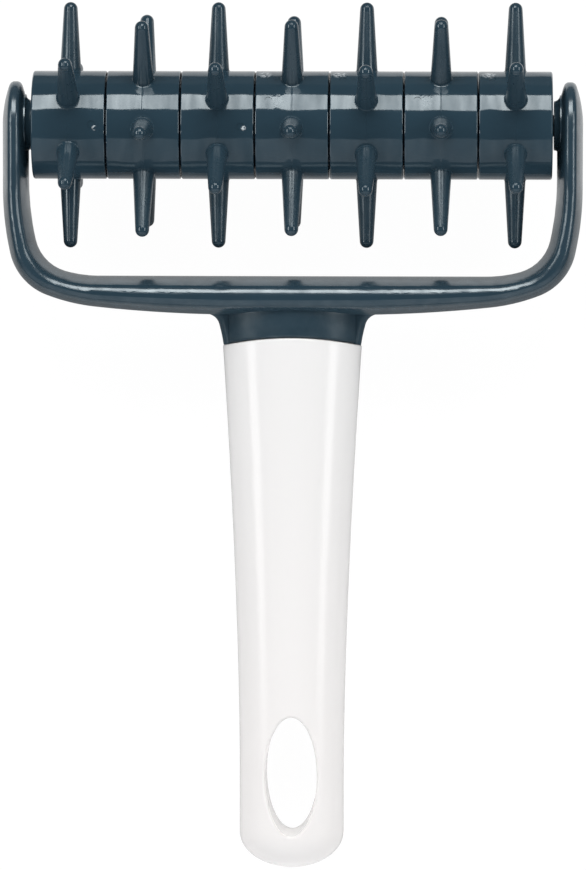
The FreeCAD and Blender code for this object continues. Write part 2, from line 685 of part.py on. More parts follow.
def yoke_outline(level):
    """closed outline of the frame at one level, arms upright, crossbar level"""
    arm_inset = inset_at("arm", level)[0]
    bar_inset = inset_at("bar", level)[0]
    ease = bend_inset(level)[0]
    half_roller = RING_COUNT * (size("ring_width") + size("ring_gap")) / 2
    arm_inner = half_roller + size("arm_gap") + arm_inset
    arm_outer = half_roller + size("arm_gap") + size("arm_thickness") - arm_inset
    bar_inner = size("bar_distance") + bar_inset
    bar_outer = size("bar_distance") + size("bar_thickness") - bar_inset
    collar = size("handle_top_width") / 2
    spare = size("arm_spare")

    # the crossbar thins towards the arms, so that it draws in less there and its edges lean
    bar_span = arm_outer - size("outer_bend") - collar
    lean = math.degrees(bar_inset * (1 - CORNER_SHARE) / bar_span)

    inner_steps = [(size("inner_ease") + ease, INNER_HEADINGS[0]),
                   (size("inner_bend") + ease, INNER_HEADINGS[1]),
                   (size("inner_sweep") + ease, 2 * lean)]
    corner = arc_chain(V(arm_inner, 0, 0), 90.0, inner_steps)[-1][2]
    if lean > 0:
        inner_steps.append(((corner.x - collar) / math.sin(math.radians(2 * lean)), 0.0))
    inner_start = V(arm_inner, -bar_inner + chain_drop(inner_steps), 0)
    inner = arc_chain(inner_start, 90.0, inner_steps)

    end_heading = BAR_END_HEADING * (1 - lean / OUTER_HEADINGS[2])
    sweep_heading = OUTER_HEADINGS[2] - 2 * lean + BAR_END_HEADING - end_heading
    outer_steps = [(size("outer_ease") - ease, OUTER_HEADINGS[0]),
                   (size("outer_bend") - ease, OUTER_HEADINGS[1]),
                   (size("outer_sweep") - ease, sweep_heading)]
    corner = arc_chain(V(arm_outer, 0, 0), 90.0, outer_steps)[-1][2]
    rise = math.sin(math.radians(sweep_heading)) - math.sin(math.radians(end_heading))
    outer_steps.append(((corner.x - collar) / rise, end_heading))
    outer_start = V(arm_outer, -bar_outer + chain_drop(outer_steps), 0)
    outer = arc_chain(outer_start, 90.0, outer_steps)

    end = outer[-1][2]
    top = V(collar, -bar_inner, 0)
    curves = []
    for side in (1, -1):
        def flip(point):
            return V(side * point.x, point.y, 0)

        half = [Part.LineSegment(flip(V(arm_inner, spare, 0)), flip(V(arm_outer, spare, 0))),
                Part.LineSegment(flip(V(arm_outer, spare, 0)), flip(outer_start))]
        half += [arc_through(flip(first), flip(mid), flip(last)) for first, mid, last in outer]
        half += [Part.LineSegment(flip(V(arm_inner, spare, 0)), flip(inner_start))]
        half += [arc_through(flip(first), flip(mid), flip(last)) for first, mid, last in inner]
        if lean == 0:
            half += [Part.LineSegment(flip(inner[-1][2]), flip(top))]
        curves.append(half)
    bottom_line = Part.LineSegment(V(end.x, end.y, 0), V(-end.x, end.y, 0))
    top_line = Part.LineSegment(V(top.x, top.y, 0), V(-top.x, top.y, 0))
    return curves[0] + curves[1] + [bottom_line, top_line]


def point_number(curve, point):
    return 1 if curve.StartPoint.distanceToPoint(point) < 1e-6 else 2


def join_ends(sketch):
    """ties curve ends that are drawn at the same place"""
    curves = sketch.Geometry
    count = len(curves)
    meetings = []
    for first in range(count):
        for second in range(first + 1, count):
            for point in (curves[first].StartPoint, curves[first].EndPoint):
                ends = (curves[second].StartPoint, curves[second].EndPoint)
                if min(point.distanceToPoint(end) for end in ends) < 1e-6:
                    meetings.append(Sketcher.Constraint(
                        "Coincident", first, point_number(curves[first], point),
                        second, point_number(curves[second], point)))
    sketch.addConstraint(meetings)


def make_outline(name, level):
    """sketch of the outline at one level, its sizes bound to the sheet"""
    sketch = doc.addObject("Sketcher::SketchObject", name)
    for curve in yoke_outline(level):
        sketch.addGeometry(curve, False)
    count = len(sketch.Geometry)
    join_ends(sketch)
    arm_inset, arm_cell = inset_at("arm", level)
    bar_inset, bar_cell = inset_at("bar", level)
    ease, ease_cell = bend_inset(level)
    outer_arcs = {2: "outer_ease", 3: "outer_bend", 4: "outer_sweep"}
    inner_arcs = {7: "inner_ease", 8: "inner_bend", 9: "inner_sweep"}
    inner = RING_COUNT * (size("ring_width") + size("ring_gap")) / 2 + size("arm_gap")
    pitch_cell = "(%s + %s)" % (cell("ring_width"), cell("ring_gap"))
    inner_cell = "%d * %s / 2 + %s" % (RING_COUNT, pitch_cell, cell("arm_gap"))
    thick = size("arm_thickness")
    second_side = (count - 2) // 2
    for first, sign, word in ((0, 1, ""), (second_side, -1, "-")):
        sketch.addConstraint(Sketcher.Constraint("Horizontal", first))
        sketch.addConstraint(Sketcher.Constraint("Vertical", first + 1))
        sketch.addConstraint(Sketcher.Constraint("Vertical", first + 6))
        for index, alias in outer_arcs.items():
            bind_radius(sketch, first + index, size(alias) - ease, cell(alias) + " - " + ease_cell)
        for index, alias in inner_arcs.items():
            bind_radius(sketch, first + index, size(alias) + ease, cell(alias) + " + " + ease_cell)
        bind_point(sketch, first, 1, "DistanceX", sign * (inner + arm_inset),
                   "%s(%s + %s)" % (word, inner_cell, arm_cell))
        bind_point(sketch, first, 2, "DistanceX", sign * (inner + thick - arm_inset),
                   "%s(%s + %s - %s)" % (word, inner_cell, cell("arm_thickness"), arm_cell))
        bind_point(sketch, first, 1, "DistanceY", size("arm_spare"), cell("arm_spare"))
    bar_lines = ((count - 2, size("bar_distance") + size("bar_thickness") - bar_inset,
                  "%s + %s - %s" % (cell("bar_distance"), cell("bar_thickness"), bar_cell)),
                 (count - 1, size("bar_distance") + bar_inset,
                  "%s + %s" % (cell("bar_distance"), bar_cell)))
    for line, distance, distance_cell in bar_lines:
        sketch.addConstraint(Sketcher.Constraint("Horizontal", line))
        bind_point(sketch, line, 1, "DistanceY", -distance, "-(" + distance_cell + ")")
    sketch.setExpression("Placement.Base.z", "%s / 2 * %.4f" % (cell("arm_depth"), level))
    return sketch


def make_frame(name):
    """arms and crossbar: the outline swelling from two narrow crests to a thick middle"""
    outlines = []
    for level in [-level for level in reversed(LEVELS[1:])] + list(LEVELS):
        outlines.append(make_outline("%s_outline_%d" % (name, len(outlines)), level))
    doc.recompute()
    swell = doc.addObject("Part::Loft", name + "_swell")
    swell.Sections = outlines
    swell.Solid = True
    swell.Ruled = False
    doc.recompute()

    # arms end level with the axle, where the rounded ends begin
    trim = doc.addObject("Part::Box", name + "_trim")
    wide = 4 * swell.Shape.BoundBox.XMax
    trim.Length = wide
    trim.Width = 4 * size("arm_spare")
    trim.Height = 2 * size("arm_depth")
    trim.Placement.Base = V(-wide / 2, 0, -size("arm_depth"))
    trimmed = doc.addObject("Part::Cut", name + "_trimmed")
    trimmed.Base = swell
    trimmed.Tool = trim
    doc.recompute()

    return trimmed


def make_arm_ends(name, frame):
    """rounded ends: the arm's own cross-section turned half round about the axle"""
    def is_right_end(face):
        centre = face.CenterOfMass
        return abs(centre.y) < 1e-4 and abs(face.normalAt(0, 0).y) > 0.999 and centre.x > 0

    faces = [face for face in frame.Shape.Faces if is_right_end(face)]
    room = 2 * frame.Shape.BoundBox.DiagonalLength
    front = Part.makeBox(room, room, room, V(0, -room / 2, 0))
    profile = doc.addObject("Part::Feature", name + "_end_profile")
    profile.Shape = faces[0].common(front)
    right = doc.addObject("Part::Revolution", name + "_end_right")
    right.Source = profile
    right.Axis = V(-1, 0, 0)
    right.Base = V(0, 0, 0)
    right.Angle = 180.0
    doc.recompute()
    left = doc.addObject("Part::Mirroring", name + "_end_left")
    left.Source = right
    left.Normal = V(1, 0, 0)
    doc.recompute()
    return right, left


def make_bosses(name):
    """flared bosses on the arms' inner faces, and the blind bores for the pivots"""
    half_roller = RING_COUNT * (size("ring_width") + size("ring_gap")) / 2
    face = half_roller + size("side_gap")
    radius = size("boss_diameter") / 2
    flare = size("arm_gap") - size("side_gap") + size("boss_seat")
    back = face + flare + size("arm_thickness") / 4
    sketch = doc.addObject("Sketcher::SketchObject", name + "_boss_profile")
    corner = math.sqrt(0.5) * flare
    sketch.addGeometry(Part.LineSegment(V(face, 0, 0), V(face, radius, 0)), False)
    sketch.addGeometry(arc_through(V(face, radius, 0), V(face + corner, radius + flare - corner, 0),
                                   V(face + flare, radius + flare, 0)), False)
    wide = radius + flare
    sketch.addGeometry(Part.LineSegment(V(face + flare, wide, 0), V(back, wide, 0)), False)
    sketch.addGeometry(Part.LineSegment(V(back, wide, 0), V(back, 0, 0)), False)
    sketch.addGeometry(Part.LineSegment(V(back, 0, 0), V(face, 0, 0)), False)
    sketch.addConstraint(Sketcher.Constraint("Coincident", 0, 2, 1, 1))
    sketch.addConstraint(Sketcher.Constraint("Coincident", 1, 2, 2, 1))
    sketch.addConstraint(Sketcher.Constraint("Coincident", 2, 2, 3, 1))
    sketch.addConstraint(Sketcher.Constraint("Coincident", 3, 2, 4, 1))
    sketch.addConstraint(Sketcher.Constraint("Coincident", 4, 2, 0, 1))
    sketch.addConstraint(Sketcher.Constraint("Vertical", 0))
    sketch.addConstraint(Sketcher.Constraint("Horizontal", 2))
    sketch.addConstraint(Sketcher.Constraint("Vertical", 3))
    sketch.addConstraint(Sketcher.Constraint("PointOnObject", 0, 1, -1))
    sketch.addConstraint(Sketcher.Constraint("PointOnObject", 3, 2, -1))
    roller_cell = "%d * (%s + %s) / 2" % (RING_COUNT, cell("ring_width"), cell("ring_gap"))
    flare_cell = "(%s - %s + %s)" % (cell("arm_gap"), cell("side_gap"), cell("boss_seat"))
    face_cell = roller_cell + " + " + cell("side_gap")
    bind_point(sketch, 0, 2, "DistanceX", face, face_cell)
    bind_point(sketch, 0, 2, "DistanceY", radius, cell("boss_diameter") + " / 2")
    bind_point(sketch, 1, 2, "DistanceX", face + flare, face_cell + " + " + flare_cell)
    bind_point(sketch, 1, 2, "DistanceY", wide, cell("boss_diameter") + " / 2 + " + flare_cell)
    bind_radius(sketch, 1, flare, flare_cell)
    doc.recompute()
    right = doc.addObject("Part::Revolution", name + "_boss_right")
    right.Source = sketch
    right.Axis = V(1, 0, 0)
    right.Base = V(0, 0, 0)
    right.Angle = 360.0
    right.Solid = True
    doc.recompute()
    left = doc.addObject("Part::Mirroring", name + "_boss_left")
    left.Source = right
    left.Normal = V(1, 0, 0)
    bores = []
    for side, word in ((1, "right"), (-1, "left")):
        bore = doc.addObject("Part::Cylinder", name + "_bore_" + word)
        bore.setExpression("Radius", cell("pivot_diameter") + " / 2 + " + cell("pivot_clearance"))
        bore.setExpression("Height", "%s + %s + 0.5" % (cell("pivot_length"), cell("pivot_end_gap")))
        turn = FreeCAD.Rotation(V(0, 1, 0), side * 90)
        bore.Placement = FreeCAD.Placement(V(side * (face - 0.5), 0, 0), turn)
        bores.append(bore)
    doc.recompute()
    return right, left, bores


def make_flare(name):
    """web inside the collar whose rounded edges sweep from the crossbar down to the handle"""
    body = doc.addObject("PartDesign::Body", name)
    half_foot = size("flare_foot_width") / 2
    bend = size("flare_bend")
    ease = size("flare_ease")
    left_foot, crown, right_foot = arch_points(-size("joint_gap"), half_foot)
    steps = [(-bend, FLARE_HEADINGS[1]), (-ease, FLARE_HEADINGS[2])]
    sweep = arc_chain(V(0, 0, 0), FLARE_HEADINGS[0], steps)[-1][2]
    curves = arc_chain(right_foot - sweep, FLARE_HEADINGS[0], steps)
    shoulder = curves[0][0]
    top = -size("bar_distance") - size("bar_thickness") / 2

    sketch = new_sketch(body, name + "_outline", "XY_Plane")
    for side in (1, -1):
        def flip(point):
            return V(side * point.x, point.y, 0)

        sketch.addGeometry(Part.LineSegment(V(side * shoulder.x, top, 0), flip(shoulder)), False)
        for first, middle, last in curves:
            sketch.addGeometry(arc_through(flip(first), flip(middle), flip(last)), False)
    sketch.addGeometry(Part.LineSegment(V(shoulder.x, top, 0), V(-shoulder.x, top, 0)), False)
    sketch.addGeometry(arc_through(left_foot, crown, right_foot), False)
    join_ends(sketch)
    top_line = 6
    arch = 7
    for first, sign, word in ((0, 1, ""), (3, -1, "-")):
        sketch.addConstraint(Sketcher.Constraint("Vertical", first))
        bind_radius(sketch, first + 1, bend, cell("flare_bend"))
        bind_radius(sketch, first + 2, ease, cell("flare_ease"))
        foot_end = point_number(sketch.Geometry[first + 2], V(sign * half_foot, right_foot.y, 0))
        bind_point(sketch, first + 2, foot_end, "DistanceX", sign * half_foot,
                   word + cell("flare_foot_width") + " / 2")
    sketch.addConstraint(Sketcher.Constraint("Horizontal", top_line))
    bind_point(sketch, top_line, 1, "DistanceY", top,
               "-(%s + %s / 2)" % (cell("bar_distance"), cell("bar_thickness")))
    sketch.addConstraint(Sketcher.Constraint("PointOnObject", arch, 3, -2))
    bind_radius(sketch, arch, size("joint_radius"), cell("joint_radius"))
    bind_point(sketch, arch, 3, "DistanceY", crown.y - size("joint_radius"),
               "-(%s - %s + %s)" % (cell("joint_distance"), cell("joint_gap"), cell("joint_radius")))
    web = body.newObject("PartDesign::Pad", name + "_web")
    web.Profile = sketch
    web.Midplane = True
    web.setExpression("Length", cell("flare_depth"))
    doc.recompute()

    def is_swept(edge):
        half_depth = size("flare_depth") / 2
        level = all(abs(abs(point.z) - half_depth) < 1e-4 for point in sample_points(edge))
        return level and hasattr(edge.Curve, "Radius") and edge.Curve.Radius < size("joint_radius") - 1e-3

    rounded = body.newObject("PartDesign::Fillet", name + "_edges")
    rounded.Base = (web, edge_names(web.Shape, is_swept))
    rounded.setExpression("Radius", cell("flare_edge_round"))
    body.Tip = rounded
    doc.recompute()
    return body


def make_yoke(name):
    frame = make_frame(name)
    end_right, end_left = make_arm_ends(name, frame)
    boss_right, boss_left, bores = make_bosses(name)
    stem = make_stem(name + "_stem")
    flare = make_flare(name + "_flare")
    blank = doc.addObject("Part::MultiFuse", name + "_blank")
    blank.Shapes = [frame, end_right, end_left, boss_right, boss_left, stem, flare]
    blank.Refine = True
    doc.recompute()
    half = doc.addObject("Part::Cut", name + "_half_bored")
    half.Base = blank
    half.Tool = bores[0]
    doc.recompute()
    whole = doc.addObject("Part::Cut", name)
    whole.Base = half
    whole.Tool = bores[1]
    doc.recompute()
    return whole


# placement of the tool lying on a table, on its spikes and on the end of its handle

tip_round = size("spike_tip_round")
tip_reach = size("spike_circle") / 2 - tip_round
end_round = size("handle_end_depth") / 2
end_reach = size("handle_reach") - end_round
# rings with a spike straight down carry the tool, the others have a spike straight ahead
ring_turns = [math.radians(ROLLER_TURN + slack) for slack in RING_SLACK]
carrying = [turn for turn, seat in zip(ring_turns, RING_SEATS) if seat % 60.0 == 0.0]
leading = [turn for turn, seat in zip(ring_turns, RING_SEATS) if seat % 60.0 != 0.0]
tilt = 0.0
for step in range(30):
    lift = max(tip_reach * math.cos(tilt - turn) for turn in carrying) + tip_round
    tilt = math.asin((lift - end_round) / end_reach)
front_edge = max(tip_reach * math.cos(tilt - turn) for turn in leading) + tip_round
back_edge = -end_reach * math.cos(tilt) - end_round
lying = FreeCAD.Placement(V(0, -(front_edge + back_edge) / 2, lift),
                          FreeCAD.Rotation(V(1, 0, 0), math.degrees(tilt)))

pieces = []
yoke = make_yoke("yoke")
yoke.Placement = lying
pieces.append(yoke)
handle = make_handle("handle")
handle.Placement = lying
pieces.append(handle)
core = make_core("roller_core")
core.Placement = lying.multiply(FreeCAD.Placement(V(0, 0, 0), FreeCAD.Rotation(V(1, 0, 0), -ROLLER_TURN)))
pieces.append(core)
pitch = size("ring_width") + size("ring_gap")
for number in range(RING_COUNT):
    ring = make_ring("spiked_ring_%d" % (number + 1))
    turn = FreeCAD.Rotation(V(1, 0, 0), -RING_SEATS[number] - math.degrees(ring_turns[number]))
    if RING_FLIPPED[number]:
        turn = turn.multiply(FreeCAD.Rotation(V(0, 0, 1), 180))
    along = V((number - (RING_COUNT - 1) / 2) * pitch, 0, 0)
    ring.Placement = lying.multiply(FreeCAD.Placement(along, turn))
    pieces.append(ring)
doc.recompute()

for thing in doc.Objects:
    if "Invalid" in thing.State or "Error" in thing.State:
        raise RuntimeError("%s is not built: %s" % (thing.Label, thing.State))
os.makedirs("parts", exist_ok=True)
for piece in pieces:
    shape = piece.Shape
    if shape.isNull() or not shape.isValid() or len(shape.Solids) != 1:
        raise RuntimeError("%s has no valid single solid" % piece.Label)
    shape.exportStep("parts/%s.step" % piece.Label)
    print(piece.Label, len(shape.Faces), round(shape.Volume, 1))
print("tilt", round(math.degrees(tilt), 3), "axle height", round(lift, 3), "shift", round(lying.Base.y, 3))
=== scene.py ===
import json
import math
from collections import namedtuple

import bpy
from mathutils import Matrix, Vector


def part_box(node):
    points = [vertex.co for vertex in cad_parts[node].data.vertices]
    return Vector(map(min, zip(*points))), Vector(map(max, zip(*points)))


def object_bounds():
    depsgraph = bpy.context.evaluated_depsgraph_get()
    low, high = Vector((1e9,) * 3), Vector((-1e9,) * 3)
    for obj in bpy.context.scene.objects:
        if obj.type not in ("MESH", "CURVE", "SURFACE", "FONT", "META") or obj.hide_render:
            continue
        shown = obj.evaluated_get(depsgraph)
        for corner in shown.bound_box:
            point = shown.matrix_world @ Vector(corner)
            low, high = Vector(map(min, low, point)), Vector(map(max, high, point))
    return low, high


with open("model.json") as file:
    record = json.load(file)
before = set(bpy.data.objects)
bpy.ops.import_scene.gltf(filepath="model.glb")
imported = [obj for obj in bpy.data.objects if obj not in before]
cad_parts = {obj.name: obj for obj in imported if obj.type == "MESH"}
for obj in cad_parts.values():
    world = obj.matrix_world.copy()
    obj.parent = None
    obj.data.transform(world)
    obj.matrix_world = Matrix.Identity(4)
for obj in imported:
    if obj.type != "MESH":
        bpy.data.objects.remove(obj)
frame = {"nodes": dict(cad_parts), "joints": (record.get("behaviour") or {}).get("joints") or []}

cad_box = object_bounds()
nodes = frame["nodes"]
scene = bpy.context.scene
MM = 0.001
RING_COUNT = 7

# middle of the axle: the roller turns about it, and the lamps and the camera are placed from it
AXLE = Vector(frame["joints"][0]["pos_m"])


class Nodes:
    """short way to add and link shader nodes"""

    def __init__(self, tree):
        self.tree = tree

    def add(self, kind, **values):
        node = self.tree.nodes.new(kind)
        for name, value in values.items():
            setattr(node, name, value)
        return node

    def link(self, source, target):
        self.tree.links.new(source, target)

    def feed(self, value, target):
        """a socket is linked, a plain value is set"""
        if isinstance(value, bpy.types.NodeSocket):
            self.link(value, target)
        else:
            target.default_value = value

    def math(self, operation, first, second=0.0):
        node = self.add("ShaderNodeMath", operation=operation)
        self.feed(first, node.inputs[0])
        self.feed(second, node.inputs[1])
        return node.outputs[0]

    def length(self, first, second):
        squares = [self.math("MULTIPLY", side, side) for side in (first, second)]
        return self.math("SQRT", self.math("ADD", *squares))

    def axes(self, place):
        """the three coordinates of a place"""
        node = self.add("ShaderNodeSeparateXYZ")
        self.link(place, node.inputs[0])
        return node.outputs["X"], node.outputs["Y"], node.outputs["Z"]

    def spread(self, value, low, high, to_low, to_high, smooth=False):
        """value moved from one range to another, held at its ends"""
        node = self.add("ShaderNodeMapRange")
        if smooth:
            node.interpolation_type = "SMOOTHSTEP"
        self.feed(value, node.inputs["Value"])
        self.feed(low, node.inputs["From Min"])
        self.feed(high, node.inputs["From Max"])
        self.feed(to_low, node.inputs["To Min"])
        self.feed(to_high, node.inputs["To Max"])
        return node.outputs["Result"]

    def noise(self, place, scale, detail=2.0, distortion=0.0):
        node = self.add("ShaderNodeTexNoise")
        node.inputs["Scale"].default_value = scale
        node.inputs["Detail"].default_value = detail
        node.inputs["Distortion"].default_value = distortion
        self.link(place, node.inputs["Vector"])
        return node.outputs["Fac"]

    def ramp(self, value, stops):
        node = self.add("ShaderNodeValToRGB")
        elements = node.color_ramp.elements
        while len(elements) < len(stops):
            elements.new(0.5)
        for element, (position, colour) in zip(elements, stops):
            element.position = position
            element.color = (*colour, 1.0)
        self.link(value, node.inputs["Fac"])
        return node.outputs["Color"]

    def blend(self, share, first, second):
        """second colour laid over the first by its share"""
        node = self.add("ShaderNodeMix", data_type="RGBA")
        self.link(share, node.inputs["Factor"])
        colours = [socket for socket in node.inputs if socket.type == "RGBA"]
        self.feed(first, colours[0])
        self.feed((*second, 1.0), colours[1])
        return [socket for socket in node.outputs if socket.type == "RGBA"][0]

    def bump(self, height, distance, normal=None):
        node = self.add("ShaderNodeBump")
        node.inputs["Strength"].default_value = 1.0
        node.inputs["Distance"].default_value = distance
        self.link(height, node.inputs["Height"])
        if normal is not None:
            self.link(normal, node.inputs["Normal"])
        return node.outputs["Normal"]


def shaded(colour, share):
    return tuple(channel * share for channel in colour)


# patterns that all mouldings share; a noise mostly stays in its span
NOISE_SPAN = (0.3, 0.7)
FLOW_SCALE = 55.0
FLOW_DETAIL = 3.0
FLOW_DISTORTION = 0.6
WEAR_SCALE = 420.0
WEAR_DETAIL = 4.0
WAVE_DETAIL = 1.0
PLASTIC_IOR = 1.5


class Plastic:
    """glossy moulding: flow marks in the colour, uneven gloss, slight waviness of the skin"""

    def __init__(self, name, colour, shade, roughness, uneven, wave_height, wave_scale):
        self.material = bpy.data.materials.new(name)
        self.material.use_nodes = True
        self.net = Nodes(self.material.node_tree)
        self.shader = self.material.node_tree.nodes["Principled BSDF"]
        self.place = self.net.add("ShaderNodeTexCoord").outputs["Object"]
        flow = self.net.noise(self.place, FLOW_SCALE, FLOW_DETAIL, FLOW_DISTORTION)
        low, high = NOISE_SPAN
        self.colour = self.net.ramp(flow, [(low, shaded(colour, shade)), (high, colour)])
        wear = self.net.noise(self.place, WEAR_SCALE, WEAR_DETAIL)
        self.gloss = self.net.spread(wear, *NOISE_SPAN, roughness - uneven, roughness + uneven)
        waves = self.net.noise(self.place, wave_scale, WAVE_DETAIL)
        self.normal = self.net.bump(waves, wave_height)
        self.shader.inputs["IOR"].default_value = PLASTIC_IOR
        self.shine = None

    def sheen(self, level, tint=(1.0, 1.0, 1.0)):
        """strength and tint of the mirror-like reflection"""
        self.shader.inputs["Specular IOR Level"].default_value = level
        self.shader.inputs["Specular Tint"].default_value = (*tint, 1.0)
        return self

    def mottle(self, stretch, scale, swing):
        """uneven strength of the reflection; the pattern can be stretched along an axis"""
        mapping = self.net.add("ShaderNodeMapping")
        self.net.link(self.place, mapping.inputs["Vector"])
        mapping.inputs["Scale"].default_value = stretch
        patches = self.net.noise(mapping.outputs["Vector"], scale, WEAR_DETAIL)
        factor = self.net.spread(patches, *NOISE_SPAN, 1.0 - swing, 1.0 + swing)
        self.shine = self.net.math("MULTIPLY", self.shine, factor)

    def finish(self):
        self.net.link(self.colour, self.shader.inputs["Base Color"])
        self.net.link(self.gloss, self.shader.inputs["Roughness"])
        self.net.link(self.normal, self.shader.inputs["Normal"])
        if self.shine is not None:
            self.net.link(self.shine, self.shader.inputs["Specular IOR Level"])
        return self.material


DARK = (0.0233, 0.0485, 0.0686)
CORE_DARK = (0.02, 0.03, 0.04)
WHITE = (0.849, 0.841, 0.833)
WARM_PAINTED_LIGHT_WHITE = (0.9, 0.877, 0.863)
COOL = (0.88, 0.97, 1.0)
MARK_WHITE_AND_GLINT = (0.62, 0.67, 0.7)
GAP_SHADE_DARK = (0.004, 0.006, 0.009)

# yoke: the collar begins where the crossbar ends, the arms at either side of the crossbar
COLLAR_TOP = AXLE.y - 42.0 * MM
COLLAR_FADE = 2.0 * MM
COLLAR_DULLNESS = 0.23
COLLAR_SHEEN = 0.54
YOKE_SHEEN = 1.0
ARMS_START = 38.0 * MM
ARMS_FADE = 18.0 * MM
ARMS_DULLNESS = 0.07


def yoke_skin():
    """glossy frame; the arms and the collar between the crossbar and the handle are duller"""
    skin = Plastic("yoke_skin", DARK, shade=0.9, roughness=0.17, uneven=0.02,
                   wave_height=0.02 * MM, wave_scale=260.0).sheen(YOKE_SHEEN, COOL)
    net = skin.net
    across, ahead, _ = net.axes(skin.place)
    collar = net.spread(ahead, COLLAR_TOP - COLLAR_FADE, COLLAR_TOP, COLLAR_DULLNESS, 0.0)
    aside = net.math("ABSOLUTE", across)
    arms = net.spread(aside, ARMS_START, ARMS_START + ARMS_FADE, 0.0, ARMS_DULLNESS)
    skin.gloss = net.math("ADD", net.math("ADD", skin.gloss, collar), arms)
    skin.shine = net.spread(collar, 0.0, COLLAR_DULLNESS, YOKE_SHEEN, COLLAR_SHEEN)
    skin.mottle(stretch=(1.0, 1.0, 1.0), scale=350.0, swing=0.3)
    return skin.finish()


def core_skin():
    """plain hidden moulding"""
    return Plastic("core_skin", CORE_DARK, shade=0.8, roughness=0.45, uneven=0.05,
                   wave_height=0.03 * MM, wave_scale=500.0).finish()


# handle: warmer in tone and lighter with painted light towards its end, fully from this share of its length
# above its end
HANDLE_SHEEN = 0.385
END_LIGHT_SHARE = 0.2


def handle_skin():
    """glossy white, warmer and lighter towards the hang hole; the lighter end is painted light"""
    skin = Plastic("handle_skin", WHITE, shade=0.993, roughness=0.15, uneven=0.02,
                   wave_height=0.01 * MM, wave_scale=60.0).sheen(HANDLE_SHEEN)
    low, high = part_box("handle")
    _, ahead, _ = skin.net.axes(skin.place)
    # painted light: the handle's end gets a warmer and lighter white, standing in for light falling on the
    # end
    painted_end_light = skin.net.spread(ahead, high.y, low.y + END_LIGHT_SHARE * (high.y - low.y), 0.0, 1.0)
    skin.colour = skin.net.blend(painted_end_light, skin.colour, WARM_PAINTED_LIGHT_WHITE)
    return skin.finish()


# rings: the drum, with glints on its rounded edges and painted shade in the gaps beyond them, from the
# ring's middle
RING_RADIUS = 12.5 * MM
RING_SHEEN = 0.64
GLINT_START = 8.1 * MM
RIM_GLINT = 2.6
RIM_START = 8.3 * MM
RIM_DARK = 8.36 * MM
RIM_SHEEN = 0.1
PARTING_WIDTH = 0.25 * MM
PARTING_HEIGHT = 0.04 * MM
HALF_SHEEN = (1.12, 0.92)
STREAKS = (1.0, 0.25, 0.25)

# rings: the spikes; their turns start from the tilt at which the tool lies on the table
TOOL_TILT = math.radians(6.9)
SPIKE_HALF_TURN = math.radians(30.0)
ROOT_REACH = 2.6 * MM
ROOT_FADE = 0.2 * MM
ROOT_END = 0.45 * MM
ROOT_SHEEN = 0.13
SPIKE_CLEAR = 0.8 * MM
SPIKE_SHEEN = 0.77
SPIKE_DULLNESS = 0.2
TIP_START = 26.3 * MM
TIP_FADE = 0.5 * MM
TIP_SHARE = 0.1

# marks on the rings, whitened plastic with painted glints: place along the ring, reach, turn from the top,
# height of the roughness, how fine its grain is and how far it is whitened there
Mark = namedtuple("Mark", "along reach turn height grain pale")
GATE = Mark(along=6.1 * MM, reach=0.7 * MM, turn=math.radians(-8.7), height=0.3 * MM,
            grain=1500.0, pale=1.0)
SCUFF = Mark(along=-3.3 * MM, reach=2.3 * MM, turn=math.radians(21.5), height=0.045 * MM,
             grain=2200.0, pale=0.08)
FLASH = Mark(along=-6.2 * MM, reach=2.0 * MM, turn=math.radians(63.0), height=0.15 * MM,
             grain=1500.0, pale=0.5)
RING_MARKS = {1: [GATE], 3: [GATE], 4: [SCUFF, FLASH], 5: [FLASH], 6: [SCUFF], 7: [FLASH]}
MARK_CORE = 0.4
MARK_SPECKS = (0.44, 0.56)


def ring_middle(number):
    low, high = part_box("spiked_ring_%d" % number)
    return (low.x + high.x) / 2


def add_mark(skin, middle, mark):
    """rough patch on a ring's skin, whitened in specks: partly whitened plastic, partly painted glints"""
    net = skin.net
    spot = AXLE + RING_RADIUS * Vector((0.0, math.sin(mark.turn), math.cos(mark.turn)))
    spot.x = middle + mark.along
    gap = net.add("ShaderNodeVectorMath", operation="DISTANCE")
    net.link(skin.place, gap.inputs[0])
    gap.inputs[1].default_value = spot
    inside = net.spread(gap.outputs["Value"], MARK_CORE * mark.reach, mark.reach, 1.0, 0.0, smooth=True)
    noise = net.noise(skin.place, mark.grain)
    skin.normal = net.bump(net.math("MULTIPLY", noise, inside), mark.height, skin.normal)
    # painted highlight in part: the whitened specks stand in for glints as well as for whitened plastic
    whitened_and_glint = net.math("MULTIPLY", inside, net.spread(noise, *MARK_SPECKS, 0.0, mark.pale))
    skin.colour = net.blend(whitened_and_glint, skin.colour, MARK_WHITE_AND_GLINT)


def ring_places(skin, number):
    """where a point of a ring lies: along the axle, out from it, and off the nearest spike's axis"""
    net = skin.net
    from_axle = net.add("ShaderNodeVectorMath", operation="SUBTRACT")
    net.link(skin.place, from_axle.inputs[0])
    from_axle.inputs[1].default_value = (ring_middle(number), AXLE.y, AXLE.z)
    along, ahead, above = net.axes(from_axle.outputs["Vector"])
    out = net.length(ahead, above)
    turn = net.math("ADD", net.math("ARCTAN2", ahead, above), TOOL_TILT)
    turn = net.math("PINGPONG", turn, SPIKE_HALF_TURN)
    if number % 2:
        turn = net.math("SUBTRACT", SPIKE_HALF_TURN, turn)
    off_spike = net.length(along, net.math("MULTIPLY", out, net.math("SINE", turn)))
    return along, out, off_spike


def towards_next(net, along, number):
    """distance from a ring's middle towards its neighbours; the roller's free ends don't count"""
    if number == 1:
        return along
    if number == RING_COUNT:
        return net.math("MULTIPLY", along, -1.0)
    return net.math("ABSOLUTE", along)


